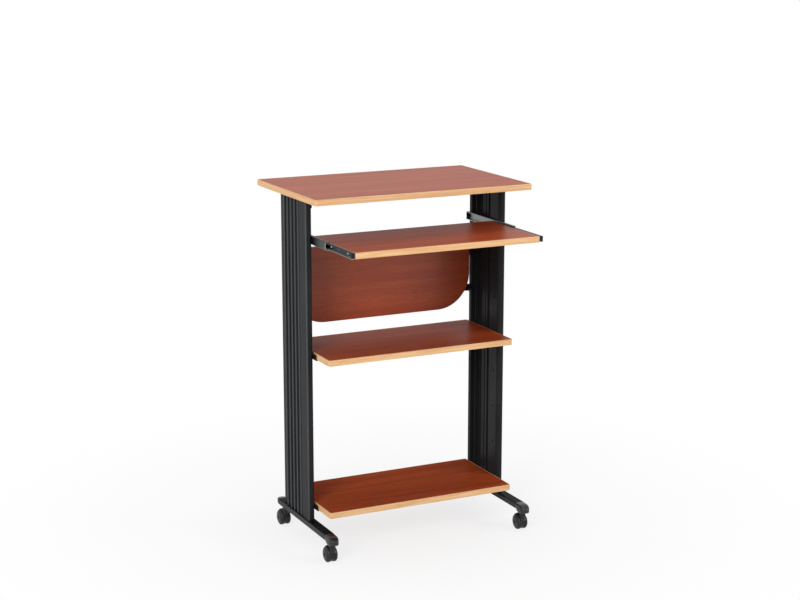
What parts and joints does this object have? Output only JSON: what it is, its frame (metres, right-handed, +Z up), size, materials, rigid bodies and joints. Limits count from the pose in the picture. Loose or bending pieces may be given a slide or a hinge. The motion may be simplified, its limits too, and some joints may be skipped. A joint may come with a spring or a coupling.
{
  "type": "mobile stand-up workstation",
  "caption": "Stand-up workstation on casters: laminate worktop on fluted steel uprights with T-feet, pull-out keyboard shelf, modesty panel and shelves on bolted brackets.",
  "frame": {"origin": "on the floor, under the middle of the whole outline with the keyboard shelf pulled out as in the picture", "axes": "+X to the right of the person who stands at the desk, +Y to its back, +Z up"},
  "size_m": [0.749, 0.632, 1.143],
  "materials": {
    "cherry_laminate": "low-pressure laminate with a red cherry grain, satin",
    "edge_band": "light wood-grain edge band, satin",
    "charcoal_steel": "charcoal powder coat, satin",
    "bracket_steel": "black powder coat, satin",
    "foot_plastic": "black moulded plastic, satin",
    "slide_steel": "zinc-plated sheet steel",
    "ball_steel": "polished bearing steel",
    "slide_plastic": "black moulded plastic",
    "bolt_steel": "black oxide, slightly oiled",
    "screw_steel": "zinc plate",
    "stem_steel": "zinc plate",
    "hood_plastic": "dark grey nylon, satin",
    "axle_steel": "plain steel",
    "wheel_plastic": "dark grey nylon, satin"
  },
  "bodies": {
    "frame": {"board_screws": "screw_steel", "bottom_shelf_board": "cherry_laminate", "bottom_shelf_brackets": "bracket_steel", "bottom_shelf_edge_band": "edge_band", "bracket_bolts": "bolt_steel", "caster_stems": "stem_steel", "foot_base_plates": "charcoal_steel", "foot_bolts": "bolt_steel", "left_fluted_panel": "charcoal_steel", "left_foot_bar": "charcoal_steel", "left_foot_nose_cap": "foot_plastic", "left_foot_rear_cap": "foot_plastic", "left_front_post": "charcoal_steel", "left_rear_post": "charcoal_steel", "left_slide_outer_member": "slide_steel", "middle_shelf_board": "cherry_laminate", "middle_shelf_brackets": "bracket_steel", "middle_shelf_edge_band": "edge_band", "modesty_brackets": "bracket_steel", "modesty_panel": "cherry_laminate", "rear_stem_rings": "charcoal_steel", "right_fluted_panel": "charcoal_steel", "right_foot_bar": "charcoal_steel", "right_foot_nose_cap": "foot_plastic", "right_foot_rear_cap": "foot_plastic", "right_front_post": "charcoal_steel", "right_rear_post": "charcoal_steel", "right_slide_outer_member": "slide_steel", "slide_bolts": "bolt_steel", "slide_rear_stops": "slide_plastic", "worktop_board": "cherry_laminate", "worktop_brackets": "bracket_steel", "worktop_edge_band": "edge_band"},
    "keyboard_shelf": {"keyboard_shelf_board": "cherry_laminate", "keyboard_shelf_edge_band": "edge_band", "left_slide_inner_member": "slide_steel", "right_slide_inner_member": "slide_steel", "slide_front_plugs": "slide_plastic", "slide_screws": "screw_steel"},
    "left_ball_cage": {"left_ball_retainers": "slide_steel", "left_slide_balls": "ball_steel"},
    "right_ball_cage": {"right_ball_retainers": "slide_steel", "right_slide_balls": "ball_steel"},
    "front_left_caster": {"front_left_caster_hood": "hood_plastic", "front_left_caster_axle": "axle_steel"},
    "front_left_left_wheel_body": {"front_left_left_wheel": "wheel_plastic"},
    "front_left_right_wheel_body": {"front_left_right_wheel": "wheel_plastic"},
    "front_right_caster": {"front_right_caster_hood": "hood_plastic", "front_right_caster_axle": "axle_steel"},
    "front_right_left_wheel_body": {"front_right_left_wheel": "wheel_plastic"},
    "front_right_right_wheel_body": {"front_right_right_wheel": "wheel_plastic"},
    "rear_left_caster": {"rear_left_caster_hood": "hood_plastic", "rear_left_caster_axle": "axle_steel"},
    "rear_left_left_wheel_body": {"rear_left_left_wheel": "wheel_plastic"},
    "rear_left_right_wheel_body": {"rear_left_right_wheel": "wheel_plastic"},
    "rear_right_caster": {"rear_right_caster_hood": "hood_plastic", "rear_right_caster_axle": "axle_steel"},
    "rear_right_left_wheel_body": {"rear_right_left_wheel": "wheel_plastic"},
    "rear_right_right_wheel_body": {"rear_right_right_wheel": "wheel_plastic"}
  },
  "joints": [
    {"name": "keyboard_slide", "type": "slide", "parent": "frame", "child": "keyboard_shelf", "axis": [0, -1, 0], "range_m": [-0.178, 0.05]},
    {"name": "left_cage_slide", "type": "slide", "parent": "frame", "child": "left_ball_cage", "axis": [0, -1, 0], "range_m": [-0.089, 0.025]},
    {"name": "right_cage_slide", "type": "slide", "parent": "frame", "child": "right_ball_cage", "axis": [0, -1, 0], "range_m": [-0.089, 0.025]},
    {"name": "front_left_swivel", "type": "hinge", "parent": "frame", "child": "front_left_caster", "pos_m": [-0.34155, -0.189, 0.05], "axis": [0, 0, 1], "continuous": true},
    {"name": "front_left_left_wheel_spin", "type": "hinge", "parent": "front_left_caster", "child": "front_left_left_wheel_body", "pos_m": [-0.34155, -0.173, 0.025], "axis": [1, 0, 0], "continuous": true},
    {"name": "front_left_right_wheel_spin", "type": "hinge", "parent": "front_left_caster", "child": "front_left_right_wheel_body", "pos_m": [-0.34155, -0.173, 0.025], "axis": [1, 0, 0], "continuous": true},
    {"name": "front_right_swivel", "type": "hinge", "parent": "frame", "child": "front_right_caster", "pos_m": [0.34155, -0.189, 0.05], "axis": [0, 0, 1], "continuous": true},
    {"name": "front_right_left_wheel_spin", "type": "hinge", "parent": "front_right_caster", "child": "front_right_left_wheel_body", "pos_m": [0.34155, -0.173, 0.025], "axis": [1, 0, 0], "continuous": true},
    {"name": "front_right_right_wheel_spin", "type": "hinge", "parent": "front_right_caster", "child": "front_right_right_wheel_body", "pos_m": [0.34155, -0.173, 0.025], "axis": [1, 0, 0], "continuous": true},
    {"name": "rear_left_swivel", "type": "hinge", "parent": "frame", "child": "rear_left_caster", "pos_m": [-0.34155, 0.193, 0.05], "axis": [0, 0, 1], "continuous": true},
    {"name": "rear_left_left_wheel_spin", "type": "hinge", "parent": "rear_left_caster", "child": "rear_left_left_wheel_body", "pos_m": [-0.34155, 0.209, 0.025], "axis": [1, 0, 0], "continuous": true},
    {"name": "rear_left_right_wheel_spin", "type": "hinge", "parent": "rear_left_caster", "child": "rear_left_right_wheel_body", "pos_m": [-0.34155, 0.209, 0.025], "axis": [1, 0, 0], "continuous": true},
    {"name": "rear_right_swivel", "type": "hinge", "parent": "frame", "child": "rear_right_caster", "pos_m": [0.34155, 0.193, 0.05], "axis": [0, 0, 1], "continuous": true},
    {"name": "rear_right_left_wheel_spin", "type": "hinge", "parent": "rear_right_caster", "child": "rear_right_left_wheel_body", "pos_m": [0.34155, 0.209, 0.025], "axis": [1, 0, 0], "continuous": true},
    {"name": "rear_right_right_wheel_spin", "type": "hinge", "parent": "rear_right_caster", "child": "rear_right_right_wheel_body", "pos_m": [0.34155, 0.209, 0.025], "axis": [1, 0, 0], "continuous": true}
  ],
  "couplings": [
    {"joint": "left_cage_slide", "follows": "keyboard_slide", "ratio": 0.5},
    {"joint": "right_cage_slide", "follows": "keyboard_slide", "ratio": 0.5}
  ]
}
